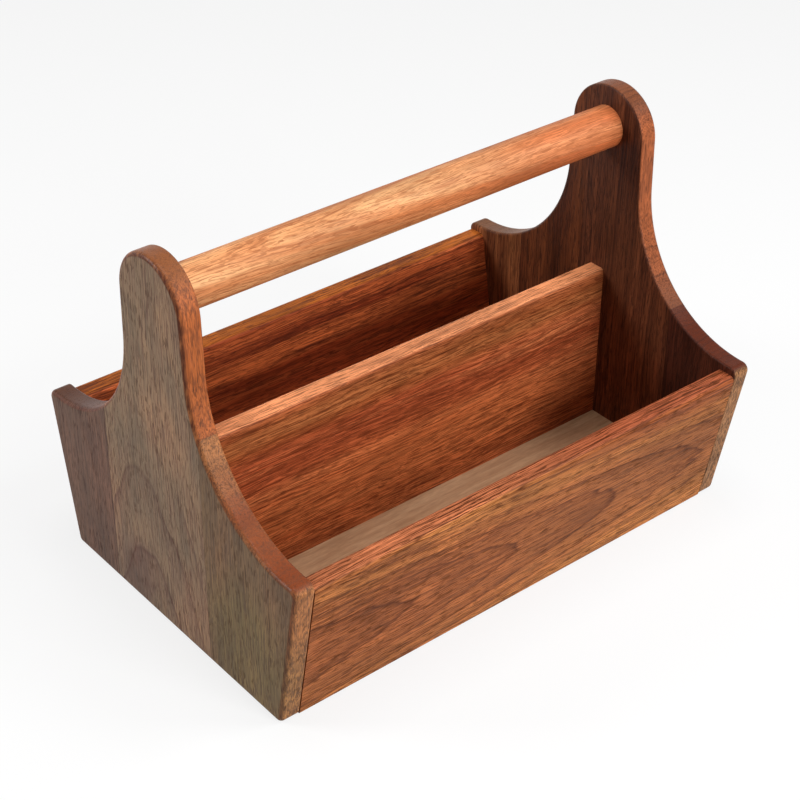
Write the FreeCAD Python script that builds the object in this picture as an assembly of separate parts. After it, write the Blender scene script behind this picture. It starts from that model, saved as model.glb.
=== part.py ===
import FreeCAD, Part
import math
import os

V = FreeCAD.Vector

# Wooden carry caddy: two shaped ends, leaning front and back boards, a divider, a base, a round handle.
# Origin: middle of the footprint, on the surface the caddy stands on.
# +X runs along the handle, -Y is the front, +Z is up. Millimetres.

# Driving dimensions
LENGTH = 350.0                # over the outer faces of the two ends
STOCK = 13.5                  # thickness of ends, boards and divider
FOOT_DEPTH = 211.0            # front to back, at the bottom
LEAN = math.radians(10.0)     # front and back lean outwards
SHOULDER_HEIGHT = 105.0       # where the side of an end turns into its cove
BOARD_HEIGHT = 100.0          # front and back boards
DIVIDER_HEIGHT = 124.5        # top of the divider above the table

# Outline of an end
COVE_RADIUS = 86.0
COVE_CENTRE_Y = 117.0         # the cove touches the level shoulder at this distance from the middle
KNOB_RADIUS = 30.0
KNOB_CENTRE_Z = 220.0
SHOULDER_CORNER_RADIUS = 5.0
FOOT_CORNER_RADIUS = 4.0

# Rounded-over long edges
END_OUTER_ROUND = 3.0
END_INNER_ROUND = 1.5
BOARD_TOP_ROUND = 3.0
BOARD_BOTTOM_ROUND = 1.5
DIVIDER_TOP_ROUND = 2.5

# Handle
HANDLE_DIAMETER = 27.0
HANDLE_HEIGHT = 223.5
SOCKET_DEPTH = 8.0
HANDLE_END_CHAMFER = 1.0

# Base panel, held in grooves all round
BASE_THICKNESS = 5.0
BASE_TOP = 14.5
GROOVE_DEPTH = 4.0

# Hidden dowel pins
PIN_DIAMETER = 8.0
PIN_DEPTH_IN_END = 9.0
PIN_DEPTH_IN_BOARD = 15.0
PIN_CHAMFER = 0.8
BOARD_PIN_HEIGHTS = (30.0, 76.0)
DIVIDER_PIN_HEIGHTS = (44.0, 98.0)

# Glue joints between the upright staves of each end, as Y positions from back to front
LEFT_STAVES = ("back", "middle", "front")
LEFT_JOINTS = (58.0, -39.0)
RIGHT_STAVES = ("back", "rear_middle", "front_middle", "front")
RIGHT_JOINTS = (71.0, 15.0, -66.0)

# Derived dimensions
INNER_X = LENGTH / 2 - STOCK
HALF_FOOT = FOOT_DEPTH / 2
COVE_CENTRE_Z = SHOULDER_HEIGHT + COVE_RADIUS
HEIGHT = KNOB_CENTRE_Z + KNOB_RADIUS
SLANTED_STOCK = STOCK / math.cos(LEAN)
BASE_BOTTOM = BASE_TOP - BASE_THICKNESS
TOLERANCE = 1e-4


def outer_y(z):
    """Distance from the middle plane to the outer face of a leaning board at height z."""
    return HALF_FOOT + z * math.tan(LEAN)


def inner_y(z):
    """Distance from the middle plane to the inner face of a leaning board at height z."""
    return outer_y(z) - SLANTED_STOCK


def polar(centre, radius, angle):
    """Point on a circle in the YZ plane, with the angle measured from +Y towards +Z."""
    return centre + V(0, radius * math.cos(angle), radius * math.sin(angle))


def flip_y(point):
    return V(point.x, -point.y, point.z)


def near(value, target):
    return abs(value - target) < TOLERANCE


def edges_at_x(shape, x):
    """Edges of a shape that lie wholly in the plane at x."""
    return [e for e in shape.Edges if near(e.BoundBox.XMin, x) and near(e.BoundBox.XMax, x)]


def edges_along_x(shape, y, z):
    """Straight edges that run along X through the point (y, z)."""
    crossing = [e for e in shape.Edges if near(e.BoundBox.Center.y, y) and near(e.BoundBox.Center.z, z)]
    return [e for e in crossing if e.BoundBox.XLength > STOCK / 2]


def prism_x(points, x_from, x_to):
    """Solid with the given YZ outline, from one X to the other."""
    outline = [V(x_from, y, z) for y, z in points]
    wire = Part.makePolygon(outline + [outline[0]])
    return Part.Face(wire).extrude(V(x_to - x_from, 0, 0))


def end_outline():
    """Bottle-shaped outline of an end: leaning sides, level shoulders, coves, neck and knob."""
    cove = V(0, COVE_CENTRE_Y, COVE_CENTRE_Z)
    knob = V(0, 0, KNOB_CENTRE_Z)
    between = knob - cove
    # The neck is the inner tangent of the cove and the knob.
    swing = math.acos((COVE_RADIUS + KNOB_RADIUS) / between.Length)
    tangent_angle = math.atan2(between.z, between.y) + swing
    neck_low = polar(cove, COVE_RADIUS, tangent_angle)
    neck_high = polar(knob, KNOB_RADIUS, tangent_angle - math.pi)
    cove_start = polar(cove, COVE_RADIUS, 1.5 * math.pi)
    cove_middle = polar(cove, COVE_RADIUS, (1.5 * math.pi + tangent_angle) / 2)
    foot = V(0, HALF_FOOT, 0)
    shoulder = V(0, outer_y(SHOULDER_HEIGHT), SHOULDER_HEIGHT)
    half = [
        Part.LineSegment(foot, shoulder),
        Part.LineSegment(shoulder, cove_start),
        Part.Arc(cove_start, cove_middle, neck_low),
        Part.LineSegment(neck_low, neck_high),
    ]
    other_half = [
        Part.LineSegment(flip_y(neck_high), flip_y(neck_low)),
        Part.Arc(flip_y(neck_low), flip_y(cove_middle), flip_y(cove_start)),
        Part.LineSegment(flip_y(cove_start), flip_y(shoulder)),
        Part.LineSegment(flip_y(shoulder), flip_y(foot)),
    ]
    crown = Part.Arc(neck_high, V(0, 0, HEIGHT), flip_y(neck_high))
    sole = Part.LineSegment(flip_y(foot), foot)
    return Part.Wire([piece.toShape() for piece in half + [crown] + other_half + [sole]])


def corner_pair(panel, z):
    """Front and back corner of an end at height z."""
    return edges_along_x(panel, outer_y(z), z) + edges_along_x(panel, -outer_y(z), z)


def end_panel(side):
    """One end before it is split into staves; side is -1 for the left and +1 for the right."""
    outer_x = side * LENGTH / 2
    inner_x = side * INNER_X
    face = Part.Face(end_outline())
    face.translate(V(outer_x, 0, 0))
    panel = face.extrude(V(inner_x - outer_x, 0, 0))
    panel = panel.makeFillet(SHOULDER_CORNER_RADIUS, corner_pair(panel, SHOULDER_HEIGHT))
    panel = panel.makeFillet(FOOT_CORNER_RADIUS, corner_pair(panel, 0))
    panel = panel.makeFillet(END_OUTER_ROUND, edges_at_x(panel, outer_x))
    return panel.makeFillet(END_INNER_ROUND, edges_at_x(panel, inner_x))


def leaning_board(front):
    """Front (front = -1) or back (front = +1) board, with level top and bottom edges."""
    outline = [
        (front * outer_y(0), 0),
        (front * outer_y(BOARD_HEIGHT), BOARD_HEIGHT),
        (front * inner_y(BOARD_HEIGHT), BOARD_HEIGHT),
        (front * inner_y(0), 0),
    ]
    board = prism_x(outline, -INNER_X, INNER_X)
    (outer_foot, outer_top, inner_top, inner_foot) = outline
    top_edges = edges_along_x(board, *outer_top) + edges_along_x(board, *inner_top)
    board = board.makeFillet(BOARD_TOP_ROUND, top_edges)
    bottom_edges = edges_along_x(board, *outer_foot) + edges_along_x(board, *inner_foot)
    return board.makeFillet(BOARD_BOTTOM_ROUND, bottom_edges)


def divider():
    """Upright board across the middle, standing on the base."""
    half = STOCK / 2
    outline = [(-half, BASE_TOP), (half, BASE_TOP), (half, DIVIDER_HEIGHT), (-half, DIVIDER_HEIGHT)]
    board = prism_x(outline, -INNER_X, INNER_X)
    top_edges = edges_along_x(board, half, DIVIDER_HEIGHT) + edges_along_x(board, -half, DIVIDER_HEIGHT)
    return board.makeFillet(DIVIDER_TOP_ROUND, top_edges)


def base_panel():
    """Thin floor whose four edges sit in grooves in the boards and ends."""
    low = inner_y(BASE_BOTTOM) + GROOVE_DEPTH
    high = inner_y(BASE_TOP) + GROOVE_DEPTH
    outline = [(-low, BASE_BOTTOM), (low, BASE_BOTTOM), (high, BASE_TOP), (-high, BASE_TOP)]
    return prism_x(outline, -INNER_X - GROOVE_DEPTH, INNER_X + GROOVE_DEPTH)


def chamfered_dowel(diameter, x_from, x_to, y, z, chamfer):
    """Round dowel along X with both ends chamfered."""
    dowel = Part.makeCylinder(diameter / 2, x_to - x_from, V(x_from, y, z), V(1, 0, 0))
    rims = edges_at_x(dowel, x_from) + edges_at_x(dowel, x_to)
    return dowel.makeChamfer(chamfer, rims)


def pin_pairs(places):
    """Dowel pins at both ends of a board, for a list of (y, z) places."""
    shallow = INNER_X - PIN_DEPTH_IN_BOARD
    deep = INNER_X + PIN_DEPTH_IN_END
    pins = []
    for y, z in places:
        for x_from, x_to in ((-deep, -shallow), (shallow, deep)):
            pins.append(chamfered_dowel(PIN_DIAMETER, x_from, x_to, y, z, PIN_CHAMFER))
    return Part.makeCompound(pins)


def board_pin_places(front):
    return [(front * (outer_y(z) - SLANTED_STOCK / 2), z) for z in BOARD_PIN_HEIGHTS]


def staves(panel, prefix, names, joints):
    """Split an end at its glue joints into one named solid per stave."""
    reach = LENGTH
    bounds = [reach] + list(joints) + [-reach]
    pieces = {}
    for name, back, front in zip(names, bounds, bounds[1:]):
        slab = Part.makeBox(2 * reach, back - front, HEIGHT + reach, V(-reach, front, -reach / 2))
        pieces[prefix + name] = panel.common(slab).Solids[0]
    return pieces


def build():
    reach = INNER_X + SOCKET_DEPTH
    handle = chamfered_dowel(HANDLE_DIAMETER, -reach, reach, 0, HANDLE_HEIGHT, HANDLE_END_CHAMFER)
    base = base_panel()
    front_pins = pin_pairs(board_pin_places(-1))
    back_pins = pin_pairs(board_pin_places(1))
    divider_pins = pin_pairs([(0, z) for z in DIVIDER_PIN_HEIGHTS])
    inserts = [handle, base] + front_pins.Solids + back_pins.Solids + divider_pins.Solids
    nodes = {
        "front_board": leaning_board(-1).cut([base] + front_pins.Solids),
        "back_board": leaning_board(1).cut([base] + back_pins.Solids),
        "center_divider": divider().cut(divider_pins.Solids),
        "base_panel": base,
        "handle_dowel": handle,
        "front_board_pins": front_pins,
        "back_board_pins": back_pins,
        "divider_pins": divider_pins,
    }
    nodes.update(staves(end_panel(-1).cut(inserts), "left_end_stave_", LEFT_STAVES, LEFT_JOINTS))
    nodes.update(staves(end_panel(1).cut(inserts), "right_end_stave_", RIGHT_STAVES, RIGHT_JOINTS))
    return nodes


os.makedirs("parts", exist_ok=True)
for node, shape in build().items():
    shape.exportStep(os.path.join("parts", node + ".step"))
    print(f"{node}: {len(shape.Solids)} solid(s), valid {shape.isValid()}, {shape.Volume:.0f} mm3")
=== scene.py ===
import math

import bpy
from bpy.props import FloatProperty, FloatVectorProperty, PointerProperty
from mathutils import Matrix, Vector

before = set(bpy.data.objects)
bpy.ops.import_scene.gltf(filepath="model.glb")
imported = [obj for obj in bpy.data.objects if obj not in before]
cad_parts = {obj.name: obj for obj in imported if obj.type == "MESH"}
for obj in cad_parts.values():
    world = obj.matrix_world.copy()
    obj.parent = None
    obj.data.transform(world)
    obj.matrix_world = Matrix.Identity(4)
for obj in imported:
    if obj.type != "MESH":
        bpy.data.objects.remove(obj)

bl_info = {
    "name": "Acacia Carry Caddy",
    "version": (1, 0, 0),
    "blender": (4, 5, 0),
    "location": "3D View > Sidebar > Caddy",
    "description": "Finishes the wooden carry caddy in oiled acacia and sets up its studio",
    "category": "Object",
}

# The frame is in metres: X along the handle, -Y the front, Z up.
MM = 0.001
LEAN = math.radians(10.0)
LENGTHWAYS = (1.0, 0.0, 0.0)
DEPTHWAYS = (0.0, 1.0, 0.0)
UPRIGHT = (0.0, 0.0, 1.0)
LEFT = (-1.0, 0.0, 0.0)
RIGHT = (1.0, 0.0, 0.0)
FRONT = (0.0, -1.0, 0.0)
FRONT_LEANING = (0.0, -math.cos(LEAN), -math.sin(LEAN))
BACK_LEANING = (0.0, math.cos(LEAN), -math.sin(LEAN))
ALL_ROUND = (0.0, 0.0, 0.0)

# Glue joints between the staves of each end, as their places in Y. A joint shows at full strength
# as far as its core, and fades out at its reach.
LEFT_JOINTS = (0.058, -0.039)
RIGHT_JOINTS = (0.071, 0.015, -0.066)
JOINT_CORE = 0.0001
JOINT_REACH = 0.0006
JOINT_STRENGTH = 0.3

# Figure of the acacia: the length up the trunk and the width of one cell, in millimetres. Real
# fibres, lines and pores are 0.3 mm wide at most and too fine to show, so theirs are drawn at least
# twice that.
SLOW_BEND = (210.0, 48.0)
TREMBLE = (26.0, 5.0)
CLOUD = (80.0, 26.0)
FIBRE = (32.0, 0.62)
DARK_LINE = (40.0, 0.7)
OPEN_PORE = (8.0, 0.85)
MOTTLING = (8.0, 1.9)
BAND_LENGTH = 420.0
STREAK_LENGTH = 170.0
STREAKS_IN_A_BAND = 4.0
MOOD_LENGTH = 160.0             # a ring's edge grows stronger and fainter over this length
RINGS_IN_A_MOOD = 1.7
TREMBLE_REACH = 0.7             # how far the tremble moves the grain, in millimetres
RING_TREMBLE = 0.35             # and how far it moves the rings
FADE_LENGTH = 25.0              # the rings fade out over this length, in millimetres
STREAK_SHIFT = (7.3, 3.1, 0.0)  # keeps the streaks off the bands
LINE_SHIFT = (0.0, 31.7, 12.9)  # keeps the dark lines off the fibres
MOST_CUT = 0.85                 # share of the end colour where the grain is cut square across
POLISH = 0.15                   # how much smoother hands make the arrises and cut ends
CLOUD_SHADE = (0.74, 1.26)      # how dark and how light the clouds make the wood

# Plywood and beech: length, depth and height of one cell of the grain, in metres.
VENEER_GRAIN = (0.045, 0.004, 0.02)
VENEER_PITS = (0.006, 0.0009, 0.002)
BEECH_FLECK = (0.004, 0.0006, 0.0006)

# Surfaces: how deep the open grain is, in metres, and the smoothest and roughest of each wood.
OPEN_GRAIN = 0.00025
VENEER_DEPTH = 0.0002
BEECH_DEPTH = 0.0001
OILED_ROUGHNESS = (0.44, 0.54)
VENEER_ROUGHNESS = (0.62, 0.72)
BEECH_ROUGHNESS = (0.55, 0.7)
WOOD_IOR = 1.5

# Grey stops of the ramps, as place and value.
LATE_WOOD = ((0.35, 0.0), (0.88, 0.35), (0.95, 1.0), (1.0, 0.0))
ARRIS_SHADE_TURN = ((0.4, 0.0), (0.78, 1.0), (0.97, 1.0), (0.998, 0.0))
WORN_TURN = ((0.1, 0.0), (0.4, 1.0), (0.9, 1.0), (0.99, 0.0))

# Sockets by number: the ranges of Map Range, and the colours that Mix takes and gives.
LOW, HIGH, TO_LOW, TO_HIGH = 1, 2, 3, 4
UNDER, OVER, MIXED = 6, 7, 2

WHITE = (1.0, 1.0, 1.0, 1.0)

# Stage: the floor lies a hair below the feet, and the lamps point at the middle of the caddy.
FLOOR_PLACE = (0.0, 0.0, -0.0002)
FLOOR_GLOW = 0.78
LAMP_AIM = (0.0, 0.0, 0.1)
LAMP_PLACES = {
    "overhead": (0.0, 0.0, 1.5),
    "left": (-1.2, 0.9, 0.9),
    "front": (0.2, -1.6, 0.8),
    "right": (0.8, -0.8, 1.2),
}
SENSOR_WIDTH = 36.0
VIEW_NEAREST = 0.01
VIEW_FURTHEST = 50.0


def linear(code):
    """Linear colour from an sRGB hex code."""
    channels = [int(code[i:i + 2], 16) / 255 for i in (1, 3, 5)]
    return tuple(c / 12.92 if c <= 0.04045 else ((c + 0.055) / 1.055) ** 2.4 for c in channels)


def colour(name, description, code):
    return FloatVectorProperty(name=name, description=description, subtype="COLOR", size=3,
                               min=0, max=1, default=linear(code))


def share(name, description, value):
    return FloatProperty(name=name, description=description, subtype="FACTOR", min=0, max=1,
                         default=value)


def lean(name, description, value):
    return FloatProperty(name=name, description=description, min=-1, max=1, default=value)


def distance(name, description, value):
    return FloatProperty(name=name, description=description, unit="LENGTH", subtype="DISTANCE",
                         min=0, default=value)


def place(name, description, value):
    return FloatVectorProperty(name=name, description=description, unit="LENGTH",
                               subtype="TRANSLATION", size=3, default=value)


def turn(name, description, degrees):
    return FloatVectorProperty(name=name, description=description, unit="ROTATION", subtype="EULER",
                               size=3, default=tuple(math.radians(d) for d in degrees))


def power(name, description, value):
    return FloatProperty(name=name, description=description, unit="POWER", min=0, default=value)


PALE = ("Pale wood", "Colour of the pale bands")
RICH = ("Rich wood", "Colour of the deeper bands")
DARK = ("Dark wood", "Colour of the dark streaks and of the edge of each ring")
PORE = ("Pores", "Colour of the dark lines and inside the open pores")
EDGE = ("Edge", "Colour of the narrow long edges")
END = ("End grain", "Colour where the grain is cut across and drinks more oil")
# Bloom and its depth are painted reflection: a grey haze painted on the outward face.
PAINTED_HAZE = ("Bloom", "Colour of the dry bloom on the outward face")
PAINTED_HAZE_DEPTH = ("Bloom depth", "How much the bloom covers the outward face")
PITH = ("Pith", "A point on the middle line of the trunk that the piece was sawn from")
LIE = ("Lie of the trunk", "Turn that lays the trunk, which runs along X, as the piece was sawn")
TAPER = ("Taper", "How much the rings close in for each metre up the trunk, as nested cones")
SLIDE = ("Slide", "How far up the trunk the piece was sawn")
RING = ("Ring width", "Growth ring from edge to edge")
BAND = ("Band width", "Colour band across the rings")
STRAY = ("Stray", "How far the grain strays from straight")
RINGS = ("Ring contrast", "Strength of the dark edge of each ring")
FADE = ("Ring fade", "How far up the trunk from the pith point the dark ring edges fade out")
STREAKS = ("Streaks", "Strength of the dark streaks")
FIBRES = ("Fibre contrast", "How much lighter and darker the single fibres are")
LINES = ("Lines", "Strength of the long fine dark lines")
PORES = ("Pore contrast", "Strength of the open pores")
HEART = ("Heart", "Middle of a part where the wood is deeper and dark lines crowd together")
HEART_SIZE = ("Heart size", "Half the length, width and height of the heart")
HEART_DEPTH = ("Heart depth", "How much the lines crowd in the heart")
EDGE_LINES = ("Edge lines", "How much stronger or fainter the dark lines are on the narrow edges")
PATCH = ("Patch", "Tint of one soft patch in the wood")
PATCH_PLACE = ("Patch place", "Middle of the patch")
PATCH_SIZE = ("Patch size", "Half the length, width and height of the patch")
PATCH_DEPTH = ("Patch depth", "Strength of the patch's tint")
STAIN = ("Stain", "Tint of a second soft patch in the wood")
STAIN_PLACE = ("Stain place", "Middle of the second patch")
STAIN_SIZE = ("Stain size", "Half the length, width and height of the second patch")
STAIN_DEPTH = ("Stain depth", "Strength of the second patch's tint")
# The oiled arris colour and the arris strengths set a dark line of painted shade along the rounded
# arrises.
ARRIS_SHADE = ("Oiled arris", "Colour of the oil-dark line along an arris")
MOTTLE = ("Mottle", "Strength of the dark mottling on the narrow edges")
ARRIS = ("Arris", "How much the oil darkens the line of an arris that crosses the grain")
ARRIS_ALONG = ("Arris along", "How much the oil darkens the line of an arris along the grain")
GLOSS = ("Gloss", "Strength of the satin reflection")


class Timber:
    """What every piece of acacia has. Each piece's own group gives what sets it apart."""
    pale: colour(*PALE, "#b9794c")
    rich: colour(*RICH, "#9a5530")
    dark: colour(*DARK, "#5e2b16")
    pore: colour(*PORE, "#461e0f")
    edge: colour(*EDGE, "#b06a42")
    end: colour(*END, "#8a4524")
    painted_haze: colour(*PAINTED_HAZE, "#8f7a60")
    painted_haze_depth: share(*PAINTED_HAZE_DEPTH, 0.0)
    pith: place(*PITH, (0.0, 0.15, 0.05))
    lie: turn(*LIE, (0.0, 0.0, 0.0))
    taper: share(*TAPER, 0.0)
    slide: distance(*SLIDE, 0.0)
    ring: distance(*RING, 0.0032)
    band: distance(*BAND, 0.012)
    stray: distance(*STRAY, 0.004)
    rings: share(*RINGS, 0.3)
    fade: distance(*FADE, 1.0)
    streaks: share(*STREAKS, 0.5)
    fibres: share(*FIBRES, 0.45)
    lines: share(*LINES, 0.6)
    pores: share(*PORES, 0.5)
    heart: place(*HEART, (0.0, 0.0, 0.0))
    heart_size: place(*HEART_SIZE, (0.08, 0.03, 0.03))
    heart_depth: share(*HEART_DEPTH, 0.0)
    edge_lines: lean(*EDGE_LINES, 0.0)
    patch: colour(*PATCH, "#b9794c")
    patch_place: place(*PATCH_PLACE, (0.0, 0.0, 0.0))
    patch_size: place(*PATCH_SIZE, (0.08, 0.03, 0.03))
    patch_depth: share(*PATCH_DEPTH, 0.0)
    stain: colour(*STAIN, "#9a5530")
    stain_place: place(*STAIN_PLACE, (0.0, 0.0, 0.0))
    stain_size: place(*STAIN_SIZE, (0.08, 0.03, 0.03))
    stain_depth: share(*STAIN_DEPTH, 0.0)
    # Colour of the painted shade along the arrises.
    oiled: colour(*ARRIS_SHADE, "#5a2c1a")
    mottle: share(*MOTTLE, 0.0)
    arris: share(*ARRIS, 0.0)
    arris_along: share(*ARRIS_ALONG, 0.0)
    gloss: share(*GLOSS, 0.15)


class FrontBoardTimber(Timber, bpy.types.PropertyGroup):
    """Front board, sawn off the heart, so its rings run out in tall pointed arches."""
    pale: colour(*PALE, "#cf8448")
    rich: colour(*RICH, "#bb6d3f")
    dark: colour(*DARK, "#5d2b11")
    pore: colour(*PORE, "#522a0e")
    edge: colour(*EDGE, "#d47d53")
    pith: place(*PITH, (0.0, -0.0125, 0.0638))
    taper: share(*TAPER, 0.039)
    slide: distance(*SLIDE, 11.724)
    stray: distance(*STRAY, 0.0007)
    rings: share(*RINGS, 0.85)
    streaks: share(*STREAKS, 0.3)
    fibres: share(*FIBRES, 0.36)
    pores: share(*PORES, 0.6)
    heart: place(*HEART, (-0.1, -0.117, 0.071))
    heart_size: place(*HEART_SIZE, (0.12, 0.03, 0.014))
    heart_depth: share(*HEART_DEPTH, 0.8)
    edge_lines: lean(*EDGE_LINES, 1.0)
    patch: colour(*PATCH, "#9c5d35")
    patch_place: place(*PATCH_PLACE, (0.095, -0.113, 0.054))
    patch_size: place(*PATCH_SIZE, (0.125, 0.03, 0.03))
    patch_depth: share(*PATCH_DEPTH, 0.85)
    stain: colour(*STAIN, "#8c3822")
    stain_place: place(*STAIN_PLACE, (0.13, -0.117, 0.101))
    stain_size: place(*STAIN_SIZE, (0.14, 0.03, 0.018))
    stain_depth: share(*STAIN_DEPTH, 0.6)
    gloss: share(*GLOSS, 0.1)


class BackBoardTimber(Timber, bpy.types.PropertyGroup):
    """Back board, deeper red-brown with straight streaks."""
    pale: colour(*PALE, "#c96737")
    rich: colour(*RICH, "#953f20")
    dark: colour(*DARK, "#4f1e0f")
    pore: colour(*PORE, "#3c170b")
    edge: colour(*EDGE, "#b06123")
    pith: place(*PITH, (0.0, 0.16, -0.12))
    slide: distance(*SLIDE, 13.678)
    streaks: share(*STREAKS, 0.8)
    fibres: share(*FIBRES, 0.34)
    heart: place(*HEART, (-0.02, 0.105, 0.088))
    heart_size: place(*HEART_SIZE, (0.2, 0.03, 0.009))
    heart_depth: share(*HEART_DEPTH, 0.6)
    edge_lines: lean(*EDGE_LINES, 0.2)
    gloss: share(*GLOSS, 0.1)


class DividerTimber(Timber, bpy.types.PropertyGroup):
    """Divider, quarter sawn, with fine straight bands."""
    pale: colour(*PALE, "#c67346")
    rich: colour(*RICH, "#a6502e")
    dark: colour(*DARK, "#62270f")
    pore: colour(*PORE, "#4f1e0c")
    edge: colour(*EDGE, "#ffa671")
    pith: place(*PITH, (0.0, 0.03, -0.16))
    slide: distance(*SLIDE, 7.816)
    streaks: share(*STREAKS, 0.4)
    fibres: share(*FIBRES, 0.4)
    pores: share(*PORES, 0.4)
    heart: place(*HEART, (0.0, 0.0, 0.083))
    heart_size: place(*HEART_SIZE, (0.3, 0.03, 0.012))
    heart_depth: share(*HEART_DEPTH, 0.7)
    edge_lines: lean(*EDGE_LINES, -0.9)
    patch: colour(*PATCH, "#99602f")
    patch_place: place(*PATCH_PLACE, (0.0, 0.0, 0.111))
    patch_size: place(*PATCH_SIZE, (0.35, 0.03, 0.012))
    patch_depth: share(*PATCH_DEPTH, 0.45)
    # This stain is painted light: a lighter orange over the lower part of the divider, where the
    # front board shades it.
    stain: colour(*STAIN, "#d67741")
    stain_place: place(*STAIN_PLACE, (0.0, 0.0, 0.045))
    stain_size: place(*STAIN_SIZE, (0.2, 0.03, 0.034))
    stain_depth: share(*STAIN_DEPTH, 0.6)
    gloss: share(*GLOSS, 0.1)


class EndStave(Timber):
    """A stave of an end, whose grain stands upright."""
    lie: turn(*LIE, (0.0, -90.0, 0.0))


class RightStave(EndStave):
    """A stave of the right end, dark and a little less glossy."""
    fibres: share(*FIBRES, 0.28)
    # Colour of the painted shade along the arrises.
    oiled: colour(*ARRIS_SHADE, "#3c1a10")
    gloss: share(*GLOSS, 0.12)


class LeftBackStaveTimber(EndStave, bpy.types.PropertyGroup):
    """Back stave of the left end, dark and straight grained."""
    pale: colour(*PALE, "#94604a")
    rich: colour(*RICH, "#7a4836")
    dark: colour(*DARK, "#4c3028")
    pore: colour(*PORE, "#41281f")
    edge: colour(*EDGE, "#8a5540")
    end: colour(*END, "#54311e")
    # Painted reflection: a grey haze on the outward face.
    painted_haze: colour(*PAINTED_HAZE, "#796250")
    painted_haze_depth: share(*PAINTED_HAZE_DEPTH, 0.6)
    pith: place(*PITH, (-0.168, 0.26, 0.0))
    slide: distance(*SLIDE, 16.609)
    fibres: share(*FIBRES, 0.28)
    pores: share(*PORES, 0.6)
    mottle: share(*MOTTLE, 0.6)
    arris: share(*ARRIS, 0.7)
    arris_along: share(*ARRIS_ALONG, 0.3)


class LeftMiddleStaveTimber(EndStave, bpy.types.PropertyGroup):
    """Middle stave of the left end, with wide arches low down."""
    pale: colour(*PALE, "#c47d4c")
    rich: colour(*RICH, "#a6623c")
    dark: colour(*DARK, "#6a4236")
    pore: colour(*PORE, "#4f3226")
    edge: colour(*EDGE, "#bb6636")
    end: colour(*END, "#894f29")
    # Painted reflection: a grey haze on the outward face.
    painted_haze: colour(*PAINTED_HAZE, "#9b8c73")
    painted_haze_depth: share(*PAINTED_HAZE_DEPTH, 0.7)
    pith: place(*PITH, (-0.1348, 0.025, 0.0))
    taper: share(*TAPER, 0.3)
    slide: distance(*SLIDE, 8.793)
    ring: distance(*RING, 0.018)
    stray: distance(*STRAY, 0.006)
    rings: share(*RINGS, 0.7)
    fade: distance(*FADE, 0.112)
    streaks: share(*STREAKS, 0.15)
    fibres: share(*FIBRES, 0.26)
    pores: share(*PORES, 0.55)
    edge_lines: lean(*EDGE_LINES, -0.5)
    patch: colour(*PATCH, "#7c5a50")
    patch_place: place(*PATCH_PLACE, (-0.175, 0.035, 0.018))
    patch_size: place(*PATCH_SIZE, (0.03, 0.022, 0.03))
    patch_depth: share(*PATCH_DEPTH, 0.6)
    mottle: share(*MOTTLE, 0.5)
    arris: share(*ARRIS, 0.95)
    arris_along: share(*ARRIS_ALONG, 0.95)


class LeftFrontStaveTimber(EndStave, bpy.types.PropertyGroup):
    """Front stave of the left end, olive brown."""
    pale: colour(*PALE, "#b8764a")
    rich: colour(*RICH, "#985835")
    dark: colour(*DARK, "#5f4232")
    pore: colour(*PORE, "#4c3224")
    edge: colour(*EDGE, "#c4814f")
    end: colour(*END, "#843914")
    # Painted reflection: a grey haze on the outward face.
    painted_haze: colour(*PAINTED_HAZE, "#8b7557")
    painted_haze_depth: share(*PAINTED_HAZE_DEPTH, 0.75)
    pith: place(*PITH, (-0.165, -0.24, 0.0))
    slide: distance(*SLIDE, 12.701)
    streaks: share(*STREAKS, 0.2)
    fibres: share(*FIBRES, 0.26)
    pores: share(*PORES, 0.6)
    patch: colour(*PATCH, "#857548")
    patch_place: place(*PATCH_PLACE, (-0.175, -0.078, 0.035))
    patch_size: place(*PATCH_SIZE, (0.03, 0.045, 0.05))
    patch_depth: share(*PATCH_DEPTH, 0.6)
    mottle: share(*MOTTLE, 0.55)
    arris: share(*ARRIS, 0.75)
    arris_along: share(*ARRIS_ALONG, 0.2)


class RightBackStaveTimber(RightStave, bpy.types.PropertyGroup):
    """Back stave of the right end, lighter than its neighbours."""
    pale: colour(*PALE, "#a2633c")
    rich: colour(*RICH, "#754228")
    dark: colour(*DARK, "#3d1c10")
    pore: colour(*PORE, "#32170c")
    edge: colour(*EDGE, "#a06846")
    end: colour(*END, "#7a4f32")
    pith: place(*PITH, (0.168, 0.24, 0.0))
    slide: distance(*SLIDE, 7.816)
    mottle: share(*MOTTLE, 0.22)
    arris: share(*ARRIS, 0.3)
    arris_along: share(*ARRIS_ALONG, 0.3)


class RightRearMiddleStaveTimber(RightStave, bpy.types.PropertyGroup):
    """Stave behind the middle of the right end, dark brown."""
    pale: colour(*PALE, "#7c4427")
    rich: colour(*RICH, "#552b19")
    dark: colour(*DARK, "#31150d")
    pore: colour(*PORE, "#29120a")
    edge: colour(*EDGE, "#874c2b")
    end: colour(*END, "#673c23")
    pith: place(*PITH, (0.168, 0.20, 0.0))
    edge_lines: lean(*EDGE_LINES, -0.5)
    mottle: share(*MOTTLE, 0.15)
    arris: share(*ARRIS, 0.6)
    arris_along: share(*ARRIS_ALONG, 0.5)


class RightFrontMiddleStaveTimber(RightStave, bpy.types.PropertyGroup):
    """Stave in front of the middle of the right end, dark brown with orange edges."""
    pale: colour(*PALE, "#7c472d")
    rich: colour(*RICH, "#512b1c")
    dark: colour(*DARK, "#2d140d")
    pore: colour(*PORE, "#271009")
    edge: colour(*EDGE, "#a95d37")
    end: colour(*END, "#884e2f")
    pith: place(*PITH, (0.168, -0.22, 0.0))
    slide: distance(*SLIDE, 7.816)
    edge_lines: lean(*EDGE_LINES, -0.5)
    mottle: share(*MOTTLE, 0.12)
    arris: share(*ARRIS, 0.6)
    arris_along: share(*ARRIS_ALONG, 0.45)


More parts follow.
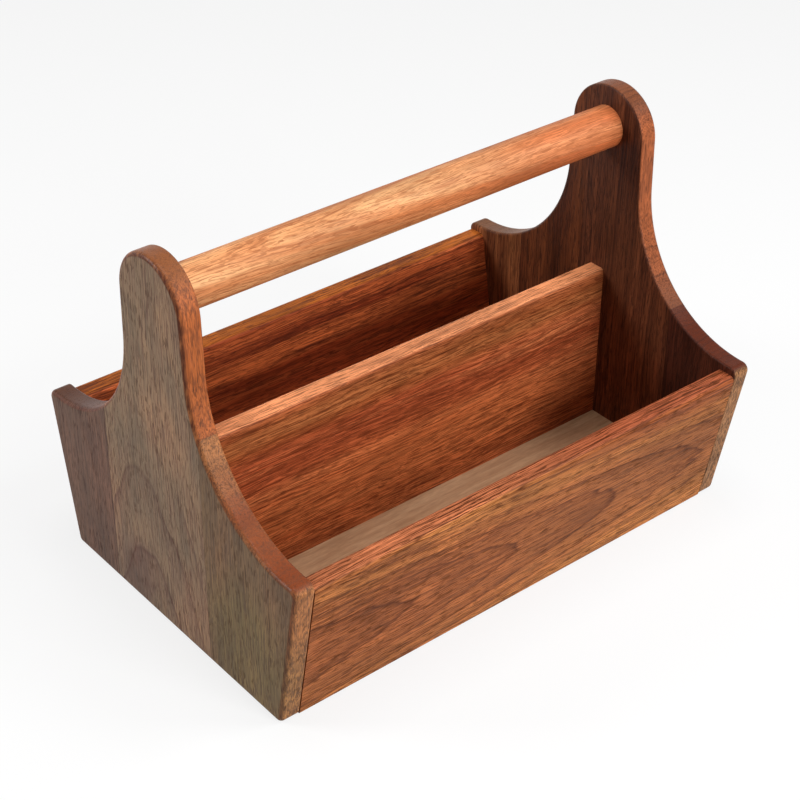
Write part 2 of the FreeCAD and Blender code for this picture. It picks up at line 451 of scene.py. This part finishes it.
class RightFrontStaveTimber(RightStave, bpy.types.PropertyGroup):
    """Front stave of the right end, the darkest, partly as painted shade of its inner face."""
    # Pale and rich are darker here partly as painted shade: the inner face lies in deep shade.
    pale: colour(*PALE, "#603222")
    rich: colour(*RICH, "#432016")
    dark: colour(*DARK, "#28110b")
    pore: colour(*PORE, "#220f09")
    edge: colour(*EDGE, "#b68156")
    end: colour(*END, "#5d2308")
    pith: place(*PITH, (0.168, -0.30, 0.0))
    slide: distance(*SLIDE, 15.632)
    mottle: share(*MOTTLE, 0.22)
    arris: share(*ARRIS, 0.5)
    arris_along: share(*ARRIS_ALONG, 0.3)


class HandleTimber(Timber, bpy.types.PropertyGroup):
    """Handle, pale sapwood with long thin streaks."""
    pale: colour(*PALE, "#f1b57e")
    rich: colour(*RICH, "#c87947")
    dark: colour(*DARK, "#a85f35")
    pore: colour(*PORE, "#8f4d29")
    pith: place(*PITH, (0.0, 0.05, 0.14))
    lie: turn(*LIE, (0.0, 1.8, 1.6))
    slide: distance(*SLIDE, 3.908)
    band: distance(*BAND, 0.008)
    rings: share(*RINGS, 0.4)
    streaks: share(*STREAKS, 0.35)
    fibres: share(*FIBRES, 0.14)
    lines: share(*LINES, 0.5)
    pores: share(*PORES, 0.45)
    heart: place(*HEART, (0.16, 0.0, 0.2235))
    heart_size: place(*HEART_SIZE, (0.12, 0.05, 0.05))
    heart_depth: share(*HEART_DEPTH, 0.6)
    patch: colour(*PATCH, "#d4683a")
    patch_place: place(*PATCH_PLACE, (0.19, 0.0, 0.2235))
    patch_size: place(*PATCH_SIZE, (0.16, 0.05, 0.05))
    patch_depth: share(*PATCH_DEPTH, 0.6)


class PlywoodSettings(bpy.types.PropertyGroup):
    """Thin plywood of the base."""
    pale: colour("Pale veneer", "Colour of the pale grain", "#c8a27c")
    rich: colour("Deep veneer", "Colour of the deeper grain", "#b08762")


class PinSettings(bpy.types.PropertyGroup):
    """Hidden dowel pins."""
    pale: colour("Pale wood", "Colour of the beech", "#d9b88c")
    rich: colour("Flecks", "Colour of the flecks", "#b98d5e")


class StageSettings(bpy.types.PropertyGroup):
    """Floor, lamps and camera."""
    floor: colour("Floor", "Colour of the floor", "#f8f8f8")
    floor_return: colour("Floor return", "Colour of the light that the floor sends back", "#a0a0a0")
    floor_size: distance("Floor size", "Side of the square floor", 12.0)
    fill: share("Fill", "Strength of the light from all round", 0.1)
    overhead: power("Overhead lamp", "Power of the lamp overhead", 6.0)
    left: power("Left lamp", "Power of the lamp behind on the left", 13.4)
    front: power("Front lamp", "Power of the lamp in front", 18.3)
    right: power("Right lamp", "Power of the high lamp in front on the right", 10.8)
    lamp_size: distance("Lamp size", "Side of each square lamp", 0.6)
    camera: place("Camera", "Where the camera stands", (-0.60213331, -0.71942056, 0.71921862))
    camera_turn: turn("Camera turn", "Where the camera looks",
                      (56.02813099, -0.45317747, -39.47740366))
    lens: FloatProperty(name="Lens", description="Focal length in millimetres on a 36 mm sensor",
                        min=1, default=82.98950526)


class CaddySettings(bpy.types.PropertyGroup):
    """All settings of the caddy and its studio."""
    front_board: PointerProperty(type=FrontBoardTimber)
    back_board: PointerProperty(type=BackBoardTimber)
    center_divider: PointerProperty(type=DividerTimber)
    left_end_stave_back: PointerProperty(type=LeftBackStaveTimber)
    left_end_stave_middle: PointerProperty(type=LeftMiddleStaveTimber)
    left_end_stave_front: PointerProperty(type=LeftFrontStaveTimber)
    right_end_stave_back: PointerProperty(type=RightBackStaveTimber)
    right_end_stave_rear_middle: PointerProperty(type=RightRearMiddleStaveTimber)
    right_end_stave_front_middle: PointerProperty(type=RightFrontMiddleStaveTimber)
    right_end_stave_front: PointerProperty(type=RightFrontStaveTimber)
    handle_dowel: PointerProperty(type=HandleTimber)
    plywood: PointerProperty(type=PlywoodSettings)
    pins: PointerProperty(type=PinSettings)
    stage: PointerProperty(type=StageSettings)


def add(tree, kind, inputs=None, stops=(), **settings):
    """Adds a node with its settings, sets or links its inputs, and gives a ramp its grey stops."""
    made = tree.nodes.new(kind)
    for name, value in settings.items():
        setattr(made, name, value)
    for socket, value in (inputs or {}).items():
        if isinstance(value, bpy.types.NodeSocket):
            tree.links.new(value, made.inputs[socket])
        else:
            made.inputs[socket].default_value = value
    for number, (position, grey) in enumerate(stops):
        ramp = made.color_ramp.elements
        stop = ramp[number] if number < len(ramp) else ramp.new(position)
        stop.position = position
        stop.color = (grey, grey, grey, 1.0)
    return made


def empty_material(name):
    """New material without nodes."""
    material = bpy.data.materials.new(name)
    material.use_nodes = True
    material.node_tree.nodes.clear()
    return material, material.node_tree


def opaque(rgb):
    return (*rgb, 1.0)


def nearness(tree, spot, middle, size, most):
    """Soft mask round a point: the most at its middle, and nothing at a third beyond its size."""
    away = add(tree, "ShaderNodeMapping", {"Vector": spot, "Location": tuple(middle),
                                           "Scale": tuple(size)}, vector_type="TEXTURE")
    away = add(tree, "ShaderNodeVectorMath", {0: away.outputs[0]}, operation="LENGTH")
    near = add(tree, "ShaderNodeMapRange", {0: away.outputs["Value"], LOW: 1.3, HIGH: 0.4,
                                            TO_HIGH: most}, interpolation_type="SMOOTHSTEP")
    return near.outputs[0]


def figure(tree, spot, cell, detail, roughness=0.5, shift=(0.0, 0.0, 0.0), **settings):
    """Cloudy figure in the wood, in cells of this length up the trunk and this width."""
    length, width = cell
    scaled = add(tree, "ShaderNodeVectorMath", {0: spot, 1: (1 / length, 1 / width, 1 / width),
                                                2: shift}, operation="MULTIPLY_ADD")
    return add(tree, "ShaderNodeTexNoise", {"Vector": scaled.outputs[0], "Scale": 1.0,
                                            "Detail": detail, "Roughness": roughness}, **settings)


def bent_grain(tree, timber, trunk):
    """Grain that strays slowly over a hand's length and trembles over a few millimetres. Gives the
    place in the trunk with the stray alone, the tremble, and the place with both."""
    reach = timber.stray / MM
    slow = figure(tree, trunk, SLOW_BEND, 2.0, normalize=False)
    strayed = add(tree, "ShaderNodeVectorMath", {
        0: slow.outputs["Color"], 1: (0.0, reach, reach), 2: trunk}, operation="MULTIPLY_ADD")
    tremble = figure(tree, trunk, TREMBLE, 2.0, normalize=False)
    grain = add(tree, "ShaderNodeVectorMath", {
        0: tremble.outputs["Color"], 1: (0.0, TREMBLE_REACH, TREMBLE_REACH),
        2: strayed.outputs[0]}, operation="MULTIPLY_ADD")
    return strayed.outputs[0], tremble.outputs[0], grain.outputs[0]


def growth(tree, timber, strayed, tremble, grain):
    """Distance up the trunk, distance from the pith less what the trunk has thinned by there, and
    the two together as a place in the layers of wood."""
    across = add(tree, "ShaderNodeVectorMath", {0: strayed, 1: (0.0, 1.0, 1.0)},
                 operation="MULTIPLY")
    radius = add(tree, "ShaderNodeVectorMath", {0: across.outputs[0]}, operation="LENGTH")
    radius = add(tree, "ShaderNodeMath", {0: tremble, 1: RING_TREMBLE, 2: radius.outputs["Value"]},
                 operation="MULTIPLY_ADD")
    up = add(tree, "ShaderNodeSeparateXYZ", {0: grain}).outputs[0]
    radius = add(tree, "ShaderNodeMath", {0: up, 1: timber.taper, 2: radius.outputs[0]},
                 operation="MULTIPLY_ADD").outputs[0]
    layer = add(tree, "ShaderNodeCombineXYZ", {0: up, 1: radius})
    layer = add(tree, "ShaderNodeVectorMath", {0: layer.outputs[0],
                                               1: (timber.slide / MM, 0.0, 0.0)}, operation="ADD")
    return up, radius, layer.outputs[0]


def ring_edges(tree, timber, up, radius, layer):
    """Growth rings: each darkens slowly and ends in a sharp dark edge, some rings more than others.
    They fade out up the trunk."""
    width = timber.ring / MM
    turns = add(tree, "ShaderNodeMath", {0: radius, 1: width}, operation="DIVIDE")
    through = add(tree, "ShaderNodeMath", {0: turns.outputs[0]}, operation="FRACT")
    late = add(tree, "ShaderNodeValToRGB", {0: through.outputs[0]}, stops=LATE_WOOD)
    mood = figure(tree, layer, (MOOD_LENGTH, RINGS_IN_A_MOOD * width), 1.0,
                  noise_dimensions="2D")
    mood = add(tree, "ShaderNodeMapRange", {0: mood.outputs[0], LOW: 0.2, HIGH: 0.42,
                                            TO_HIGH: timber.rings}, interpolation_type="SMOOTHSTEP")
    ring = add(tree, "ShaderNodeMath", {0: late.outputs[0], 1: mood.outputs[0]},
               operation="MULTIPLY")
    end = timber.fade / MM
    fade = add(tree, "ShaderNodeMapRange", {0: up, LOW: end, HIGH: end - FADE_LENGTH})
    return add(tree, "ShaderNodeMath", {0: ring.outputs[0], 1: fade.outputs[0]},
               operation="MULTIPLY").outputs[0]


def glue_lines(tree, spot, joints):
    """A thin dark line at each glued joint between the staves."""
    lines = []
    for joint in joints:
        parts = add(tree, "ShaderNodeSeparateXYZ", {0: spot})
        gap = add(tree, "ShaderNodeMath", {0: parts.outputs["Y"], 1: joint}, operation="SUBTRACT")
        gap = add(tree, "ShaderNodeMath", {0: gap.outputs[0]}, operation="ABSOLUTE")
        line = add(tree, "ShaderNodeMapRange", {0: gap.outputs[0], LOW: JOINT_REACH,
                                                HIGH: JOINT_CORE, TO_HIGH: JOINT_STRENGTH})
        lines.append(line.outputs[0])
    return lines


def acacia(name, timber, outward, along, narrow, joints=()):
    """Acacia, planed, sanded and oiled. Growth rings and colour bands lie round the pith, so they
    run in lines or arches on a face and in curves on a cut end. Fine dark lines and open pores
    follow the grain, and are faint dots where it is cut across. The oil leaves a soft satin sheen.
    A dark line of painted shade lies on the arrises, and a grey painted reflection on some faces."""
    material, tree = empty_material(name)
    where = add(tree, "ShaderNodeTexCoord")
    spot = where.outputs["Object"]
    # Millimetres in the trunk's frame: X runs up the trunk and the pith is the line Y = Z = 0.
    trunk = add(tree, "ShaderNodeMapping", {
        "Vector": spot, "Location": tuple(timber.pith), "Rotation": tuple(timber.lie),
        "Scale": (MM, MM, MM)}, vector_type="TEXTURE").outputs[0]
    strayed, tremble, grain = bent_grain(tree, timber, trunk)
    up, radius, layer = growth(tree, timber, strayed, tremble, grain)
    ring = ring_edges(tree, timber, up, radius, layer)

    # How far the surface looks along the grain, outwards and to the narrow side.
    looks = []
    for direction in (along, outward, narrow):
        look = add(tree, "ShaderNodeVectorMath", {0: where.outputs["Normal"], 1: direction},
                   operation="DOT_PRODUCT")
        looks.append(look.outputs["Value"])
    cut, square, side = [add(tree, "ShaderNodeMath", {0: look}, operation="ABSOLUTE").outputs[0]
                         for look in looks]
    cut = add(tree, "ShaderNodeMapRange", {0: cut, LOW: 0.45, HIGH: 1.0, TO_HIGH: MOST_CUT},
              interpolation_type="SMOOTHSTEP").outputs[0]
    side = add(tree, "ShaderNodeMapRange", {0: side, LOW: 0.5, HIGH: 0.95, TO_HIGH: 0.9},
               interpolation_type="SMOOTHSTEP").outputs[0]

    # In the heart the wood is deeper, and the dark lines and pores crowd together.
    crowd = nearness(tree, spot, timber.heart, timber.heart_size, timber.heart_depth)
    patch = nearness(tree, spot, timber.patch_place, timber.patch_size, timber.patch_depth)
    stain = nearness(tree, spot, timber.stain_place, timber.stain_size, timber.stain_depth)

    # Colour bands follow the rings and change slowly up the trunk, with finer dark streaks in them.
    band = timber.band / MM
    bands = figure(tree, layer, (BAND_LENGTH, band), 3.0, noise_dimensions="2D")
    bands = add(tree, "ShaderNodeMath", {0: crowd, 1: -0.02, 2: bands.outputs[0]},
                operation="MULTIPLY_ADD")
    paleness = add(tree, "ShaderNodeMapRange", {0: bands.outputs[0], LOW: 0.36, HIGH: 0.64})
    streaks = figure(tree, layer, (STREAK_LENGTH, band / STREAKS_IN_A_BAND), 3.0, 0.65,
                     STREAK_SHIFT, noise_dimensions="2D")
    streaks = add(tree, "ShaderNodeMath", {0: crowd, 1: 0.08, 2: streaks.outputs[0]},
                  operation="MULTIPLY_ADD")
    streak = add(tree, "ShaderNodeMapRange", {0: streaks.outputs[0], LOW: 0.53, HIGH: 0.72,
                                              TO_HIGH: timber.streaks})

    # Fibres are lighter and darker threads, in wood that is cloudy over some centimetres.
    fibre = figure(tree, grain, FIBRE, 1.0, 0.6).outputs[0]
    thread = add(tree, "ShaderNodeMapRange", {0: fibre, LOW: 0.34, HIGH: 0.57,
                                              TO_LOW: 1.0 - 1.3 * timber.fibres,
                                              TO_HIGH: 1.0 + 0.4 * timber.fibres})
    cloud = figure(tree, trunk, CLOUD, 3.0).outputs[0]
    darkest, lightest = CLOUD_SHADE
    clouded = add(tree, "ShaderNodeMapRange", {0: cloud, LOW: 0.3, HIGH: 0.7,
                                               TO_LOW: darkest, TO_HIGH: lightest})
    shade = add(tree, "ShaderNodeMath", {0: thread.outputs[0], 1: clouded.outputs[0]},
                operation="MULTIPLY")

    # Long fine dark lines crowd together in the heart and in the clouds.
    lines = figure(tree, grain, DARK_LINE, 2.0, shift=LINE_SHIFT)
    for cause, weight in ((crowd, 0.1), (cloud, 0.2)):
        lines = add(tree, "ShaderNodeMath", {0: cause, 1: weight, 2: lines.outputs[0]},
                    operation="MULTIPLY_ADD")
    strength = add(tree, "ShaderNodeMath", {0: side, 1: 0.7 * timber.edge_lines, 2: timber.lines},
                   operation="MULTIPLY_ADD", use_clamp=True)
    line = add(tree, "ShaderNodeMapRange", {0: lines.outputs[0], LOW: 0.65, HIGH: 0.68,
                                            TO_HIGH: strength.outputs[0]}).outputs[0]

    # Open pores crowd together in the streaks, and there are fewer on the narrow edges.
    pores = figure(tree, grain, OPEN_PORE, 1.0)
    for cause, weight in ((streaks.outputs[0], 0.3), (side, -0.05)):
        pores = add(tree, "ShaderNodeMath", {0: cause, 1: weight, 2: pores.outputs[0]},
                    operation="MULTIPLY_ADD")
    pore = add(tree, "ShaderNodeMapRange", {0: pores.outputs[0], LOW: 0.73, HIGH: 0.78,
                                            TO_HIGH: timber.pores}).outputs[0]

    # Across a cut end the fibres, lines and pores close up to small faint dots.
    whole = add(tree, "ShaderNodeMath", {0: cut, 1: -0.75, 2: 1.0}, operation="MULTIPLY_ADD")
    faint_line, faint_pore = [add(tree, "ShaderNodeMath", {0: mark, 1: whole.outputs[0]},
                                  operation="MULTIPLY").outputs[0] for mark in (line, pore)]

    # A grey haze of painted reflection lies on the outward face. It thins in places and lets the
    # warmer wood show.
    painted_haze = add(tree, "ShaderNodeMapRange", {0: looks[1], LOW: 0.93, HIGH: 0.99,
                                             TO_HIGH: timber.painted_haze_depth})
    thin = add(tree, "ShaderNodeMapRange", {0: cloud, LOW: 0.35, HIGH: 0.65,
                                            TO_LOW: 1.1, TO_HIGH: 0.85})
    painted_haze = add(tree, "ShaderNodeMath", {0: painted_haze.outputs[0], 1: thin.outputs[0]},
                operation="MULTIPLY", use_clamp=True)

    # The narrow edges cross the fibres, which turns them into soft dark mottling.
    mottle = figure(tree, grain, MOTTLING, 2.0)
    speckle = add(tree, "ShaderNodeMath", {0: cloud, 1: 0.35, 2: mottle.outputs[0]},
                  operation="MULTIPLY_ADD").outputs[0]
    mottle = add(tree, "ShaderNodeMapRange", {0: speckle, LOW: 0.66, HIGH: 0.8,
                                              TO_HIGH: timber.mottle})
    fewer = add(tree, "ShaderNodeMath", {0: cut, 1: -0.5, 2: 1.0}, operation="MULTIPLY_ADD")
    edges = add(tree, "ShaderNodeMapRange", {0: square, LOW: 0.97, HIGH: 0.8,
                                             TO_HIGH: fewer.outputs[0]})
    mottle = add(tree, "ShaderNodeMath", {0: mottle.outputs[0], 1: edges.outputs[0]},
                 operation="MULTIPLY")

    # A thin mottled dark line of painted shade lies where a face turns into its rounded arris.
    arris = add(tree, "ShaderNodeValToRGB", {0: square}, stops=ARRIS_SHADE_TURN)
    most = add(tree, "ShaderNodeMapRange", {0: cut, HIGH: MOST_CUT, TO_LOW: timber.arris_along,
                                            TO_HIGH: timber.arris})
    oil = add(tree, "ShaderNodeMapRange", {0: speckle, LOW: 0.48, HIGH: 0.74,
                                           TO_HIGH: most.outputs[0]})
    oil = add(tree, "ShaderNodeMath", {0: arris.outputs[0], 1: oil.outputs[0]},
              operation="MULTIPLY")

    # Colour, laid on in turn. Cut across, the wood drinks more oil and goes darker.
    body = add(tree, "ShaderNodeMix", {0: paleness.outputs[0], UNDER: opaque(timber.rich),
                                       OVER: opaque(timber.pale)}, data_type="RGBA")
    coats = [
        ("MIX", side, timber.edge),
        ("MIX", cut, timber.end),
        # Painted reflection: the grey haze on the outward face.
        ("MIX", painted_haze.outputs[0], timber.painted_haze),
        ("MIX", patch, timber.patch),
        # On the divider this stain is painted light on its lower part; on the other pieces it is a
        # tint of the wood.
        ("MIX", stain, timber.stain),
        ("MIX", streak.outputs[0], timber.dark),
        ("MIX", ring, timber.dark),
        ("MULTIPLY", whole.outputs[0], shade.outputs[0]),
        ("MIX", faint_line, timber.dark),
        ("MIX", faint_pore, timber.pore),
        ("MIX", mottle.outputs[0], timber.pore),
        # Painted shade: the dark line along the rounded arrises.
        ("MIX", oil.outputs[0], timber.oiled),
    ]
    coats += [("MIX", glue, timber.pore) for glue in glue_lines(tree, spot, joints)]
    for blend, amount, tint in coats:
        over = tint if isinstance(tint, bpy.types.NodeSocket) else opaque(tint)
        body = add(tree, "ShaderNodeMix", {0: amount, UNDER: body.outputs[MIXED], OVER: over},
                   data_type="RGBA", blend_type=blend)

    # Satin oil: hands polish the arrises and cut ends, and the pores lie below the surface.
    smoothest, roughest = OILED_ROUGHNESS
    sheen = add(tree, "ShaderNodeMapRange", {0: fibre, LOW: 0.3, HIGH: 0.7,
                                             TO_LOW: smoothest, TO_HIGH: roughest})
    worn = add(tree, "ShaderNodeValToRGB", {0: square}, stops=WORN_TURN)
    for cause, weight in ((pore, 0.25), (worn.outputs[0], -POLISH * timber.arris), (cut, -POLISH)):
        sheen = add(tree, "ShaderNodeMath", {0: cause, 1: weight, 2: sheen.outputs[0]},
                    operation="MULTIPLY_ADD")
    height = add(tree, "ShaderNodeMath", {0: pore, 1: -1.0, 2: fibre}, operation="MULTIPLY_ADD")
    relief = add(tree, "ShaderNodeBump", {"Strength": 0.4, "Distance": OPEN_GRAIN,
                                          "Height": height.outputs[0]})
    shader = add(tree, "ShaderNodeBsdfPrincipled", {
        "Base Color": body.outputs[MIXED], "Roughness": sheen.outputs[0],
        "Normal": relief.outputs[0], "IOR": WOOD_IOR, "Specular IOR Level": timber.gloss})
    add(tree, "ShaderNodeOutputMaterial", {0: shader.outputs[0]})
    return material


def plywood(settings):
    """Birch plywood, sanded and left bare: dull grey beige with faint long grain and small pits."""
    material, tree = empty_material("sanded_birch_plywood")
    where = add(tree, "ShaderNodeTexCoord")
    grain = add(tree, "ShaderNodeMapping", {"Vector": where.outputs["Object"],
                                            "Scale": VENEER_GRAIN}, vector_type="TEXTURE")
    grain = add(tree, "ShaderNodeTexNoise", {"Vector": grain.outputs[0], "Scale": 1.0,
                                             "Detail": 4.0, "Roughness": 0.6, "Distortion": 0.3})
    amount = add(tree, "ShaderNodeMapRange", {0: grain.outputs[0], LOW: 0.35, HIGH: 0.65})
    pits = add(tree, "ShaderNodeMapping", {"Vector": where.outputs["Object"],
                                           "Scale": VENEER_PITS}, vector_type="TEXTURE")
    pits = add(tree, "ShaderNodeTexNoise", {"Vector": pits.outputs[0], "Scale": 1.0, "Detail": 2.0})
    shade = add(tree, "ShaderNodeMapRange", {0: pits.outputs[0], LOW: 0.3, HIGH: 0.7,
                                             TO_LOW: 0.9, TO_HIGH: 1.08})
    body = add(tree, "ShaderNodeMix", {0: amount.outputs[0], UNDER: opaque(settings.rich),
                                       OVER: opaque(settings.pale)}, data_type="RGBA")
    body = add(tree, "ShaderNodeMix", {0: 1.0, UNDER: body.outputs[MIXED], OVER: shade.outputs[0]},
               data_type="RGBA", blend_type="MULTIPLY")
    smoothest, roughest = VENEER_ROUGHNESS
    dull = add(tree, "ShaderNodeMapRange", {0: pits.outputs[0], LOW: 0.3, HIGH: 0.7,
                                            TO_LOW: roughest, TO_HIGH: smoothest})
    relief = add(tree, "ShaderNodeBump", {"Strength": 0.25, "Distance": VENEER_DEPTH,
                                          "Height": pits.outputs[0]})
    shader = add(tree, "ShaderNodeBsdfPrincipled", {
        "Base Color": body.outputs[MIXED], "Roughness": dull.outputs[0],
        "Normal": relief.outputs[0], "IOR": WOOD_IOR})
    add(tree, "ShaderNodeOutputMaterial", {0: shader.outputs[0]})
    return material


def beech(settings):
    """Steamed beech, turned and left bare: pale, with short flecks along the pin."""
    material, tree = empty_material("turned_beech")
    where = add(tree, "ShaderNodeTexCoord")
    grain = add(tree, "ShaderNodeMapping", {"Vector": where.outputs["Object"],
                                            "Scale": BEECH_FLECK}, vector_type="TEXTURE")
    flecks = add(tree, "ShaderNodeTexNoise", {"Vector": grain.outputs[0], "Scale": 1.0,
                                              "Detail": 2.0})
    amount = add(tree, "ShaderNodeMapRange", {0: flecks.outputs[0], LOW: 0.5, HIGH: 0.7})
    body = add(tree, "ShaderNodeMix", {0: amount.outputs[0], UNDER: opaque(settings.pale),
                                       OVER: opaque(settings.rich)}, data_type="RGBA")
    smoothest, roughest = BEECH_ROUGHNESS
    dull = add(tree, "ShaderNodeMapRange", {0: flecks.outputs[0], TO_LOW: smoothest,
                                            TO_HIGH: roughest})
    relief = add(tree, "ShaderNodeBump", {"Strength": 0.2, "Distance": BEECH_DEPTH,
                                          "Height": flecks.outputs[0]})
    shader = add(tree, "ShaderNodeBsdfPrincipled", {
        "Base Color": body.outputs[MIXED], "Roughness": dull.outputs[0],
        "Normal": relief.outputs[0]})
    add(tree, "ShaderNodeOutputMaterial", {0: shader.outputs[0]})
    return material


def dress(node, material):
    """Gives a CAD node its finish in every material slot."""
    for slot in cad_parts[node].material_slots:
        slot.material = material


def dress_acacia(context, node, outward, along, narrow, joints=()):
    """Gives a CAD node of acacia a finish of its own."""
    timber = getattr(context.scene.caddy, node)
    dress(node, acacia("oiled_acacia_" + node, timber, outward, along, narrow, joints))


class CADDY_OT_left_end(bpy.types.Operator):
    """Finish the left end, three upright staves glued edge to edge"""
    bl_idname = "caddy.left_end"
    bl_label = "Left End"

    def execute(self, context):
        for node in ("left_end_stave_back", "left_end_stave_middle", "left_end_stave_front"):
            dress_acacia(context, node, LEFT, UPRIGHT, DEPTHWAYS, LEFT_JOINTS)
        return {"FINISHED"}


class CADDY_OT_right_end(bpy.types.Operator):
    """Finish the right end, four upright staves glued edge to edge"""
    bl_idname = "caddy.right_end"
    bl_label = "Right End"

    def execute(self, context):
        for node in ("right_end_stave_back", "right_end_stave_rear_middle",
                     "right_end_stave_front_middle", "right_end_stave_front"):
            dress_acacia(context, node, RIGHT, UPRIGHT, DEPTHWAYS, RIGHT_JOINTS)
        return {"FINISHED"}


class CADDY_OT_boards(bpy.types.Operator):
    """Finish the front board, the back board and the divider"""
    bl_idname = "caddy.boards"
    bl_label = "Boards and Divider"

    def execute(self, context):
        for node, outward in (("front_board", FRONT_LEANING), ("back_board", BACK_LEANING),
                              ("center_divider", FRONT)):
            dress_acacia(context, node, outward, LENGTHWAYS, UPRIGHT)
        return {"FINISHED"}


class CADDY_OT_handle(bpy.types.Operator):
    """Finish the round handle"""
    bl_idname = "caddy.handle"
    bl_label = "Handle"

    def execute(self, context):
        timber = context.scene.caddy.handle_dowel
        dress("handle_dowel",
              acacia("oiled_acacia_handle", timber, ALL_ROUND, LENGTHWAYS, ALL_ROUND))
        return {"FINISHED"}


class CADDY_OT_base(bpy.types.Operator):
    """Finish the base panel"""
    bl_idname = "caddy.base"
    bl_label = "Base Panel"

    def execute(self, context):
        dress("base_panel", plywood(context.scene.caddy.plywood))
        return {"FINISHED"}


class CADDY_OT_pins(bpy.types.Operator):
    """Finish the hidden dowel pins"""
    bl_idname = "caddy.pins"
    bl_label = "Dowel Pins"

    def execute(self, context):
        material = beech(context.scene.caddy.pins)
        for node in ("front_board_pins", "back_board_pins", "divider_pins"):
            dress(node, material)
        return {"FINISHED"}


def seen_directly(tree):
    """1 where the stage is seen, also in a gloss or through glass, and 0 where it lights things."""
    path = add(tree, "ShaderNodeLightPath")
    seen = add(tree, "ShaderNodeMath", {0: path.outputs["Is Camera Ray"],
                                        1: path.outputs["Is Glossy Ray"]}, operation="MAXIMUM")
    return add(tree, "ShaderNodeMath", {0: seen.outputs[0], 1: path.outputs["Is Transmission Ray"]},
               operation="MAXIMUM").outputs[0]


def lamp(name, location, size, strength):
    """Soft square lamp that points at the middle of the caddy."""
    bpy.ops.object.select_all(action="DESELECT")
    bpy.ops.object.light_add(type="AREA", location=location)
    made = bpy.context.object
    made.name = name
    made.data.shape = "SQUARE"
    made.data.size = size
    made.data.energy = strength
    made.visible_camera = False
    aim = Vector(LAMP_AIM) - made.location
    made.rotation_euler = aim.to_track_quat("-Z", "Y").to_euler()


class CADDY_OT_stage(bpy.types.Operator):
    """Set up the floor, the white surroundings, the lamps and the camera"""
    bl_idname = "caddy.stage"
    bl_label = "Studio"

    def execute(self, context):
        settings = context.scene.caddy.stage
        scene = context.scene
        scene.view_settings.view_transform = "Standard"

        bpy.ops.object.select_all(action="DESELECT")
        bpy.ops.mesh.primitive_plane_add(size=settings.floor_size, location=FLOOR_PLACE)
        floor = context.object
        floor.name = "studio_floor"
        bpy.ops.object.transform_apply(location=True, rotation=True, scale=True)
        material, tree = empty_material("matt_floor")
        seen = seen_directly(tree)
        tone = add(tree, "ShaderNodeMix", {0: seen, UNDER: opaque(settings.floor_return),
                                           OVER: opaque(settings.floor)}, data_type="RGBA")
        plain = add(tree, "ShaderNodeBsdfDiffuse", {"Color": tone.outputs[MIXED]})
        white = add(tree, "ShaderNodeEmission", {"Color": WHITE, "Strength": 1.0})
        direct = add(tree, "ShaderNodeMath", {0: seen, 1: FLOOR_GLOW}, operation="MULTIPLY")
        both = add(tree, "ShaderNodeMixShader", {0: direct.outputs[0], 1: plain.outputs[0],
                                                 2: white.outputs[0]})
        add(tree, "ShaderNodeOutputMaterial", {0: both.outputs[0]})
        floor.data.materials.append(material)

        world = bpy.data.worlds.new("studio_surroundings")
        scene.world = world
        world.use_nodes = True
        tree = world.node_tree
        tree.nodes.clear()
        strength = add(tree, "ShaderNodeMapRange", {0: seen_directly(tree), TO_LOW: settings.fill})
        light = add(tree, "ShaderNodeBackground", {"Color": WHITE, "Strength": strength.outputs[0]})
        add(tree, "ShaderNodeOutputWorld", {0: light.outputs[0]})

        for side, location in LAMP_PLACES.items():
            lamp(side + "_lamp", location, settings.lamp_size, getattr(settings, side))

        bpy.ops.object.select_all(action="DESELECT")
        bpy.ops.object.camera_add(location=tuple(settings.camera),
                                  rotation=tuple(settings.camera_turn))
        camera = context.object
        camera.name = "studio_camera"
        camera.data.sensor_fit = "HORIZONTAL"
        camera.data.sensor_width = SENSOR_WIDTH
        camera.data.lens = settings.lens
        camera.data.clip_start = VIEW_NEAREST
        camera.data.clip_end = VIEW_FURTHEST
        scene.camera = camera
        return {"FINISHED"}


class CADDY_PT_panel(bpy.types.Panel):
    """Lists the steps that finish the caddy"""
    bl_idname = "CADDY_PT_panel"
    bl_label = "Carry Caddy"
    bl_space_type = "VIEW_3D"
    bl_region_type = "UI"
    bl_category = "Caddy"

    def draw(self, context):
        for step in STEPS:
            self.layout.operator(step.bl_idname)


STEPS = (CADDY_OT_stage, CADDY_OT_left_end, CADDY_OT_right_end, CADDY_OT_boards, CADDY_OT_handle,
         CADDY_OT_base, CADDY_OT_pins)
CLASSES = (FrontBoardTimber, BackBoardTimber, DividerTimber, LeftBackStaveTimber,
           LeftMiddleStaveTimber, LeftFrontStaveTimber, RightBackStaveTimber,
           RightRearMiddleStaveTimber, RightFrontMiddleStaveTimber, RightFrontStaveTimber,
           HandleTimber, PlywoodSettings, PinSettings, StageSettings, CaddySettings,
           *STEPS, CADDY_PT_panel)


def register():
    for cls in CLASSES:
        bpy.utils.register_class(cls)
    bpy.types.Scene.caddy = PointerProperty(type=CaddySettings)


def unregister():
    del bpy.types.Scene.caddy
    for cls in reversed(CLASSES):
        bpy.utils.unregister_class(cls)


def main():
    """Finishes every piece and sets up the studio."""
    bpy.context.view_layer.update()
    register()
    bpy.ops.caddy.stage()
    bpy.ops.caddy.left_end()
    bpy.ops.caddy.right_end()
    bpy.ops.caddy.boards()
    bpy.ops.caddy.handle()
    bpy.ops.caddy.base()
    bpy.ops.caddy.pins()


if __name__ == "__main__":
    main()
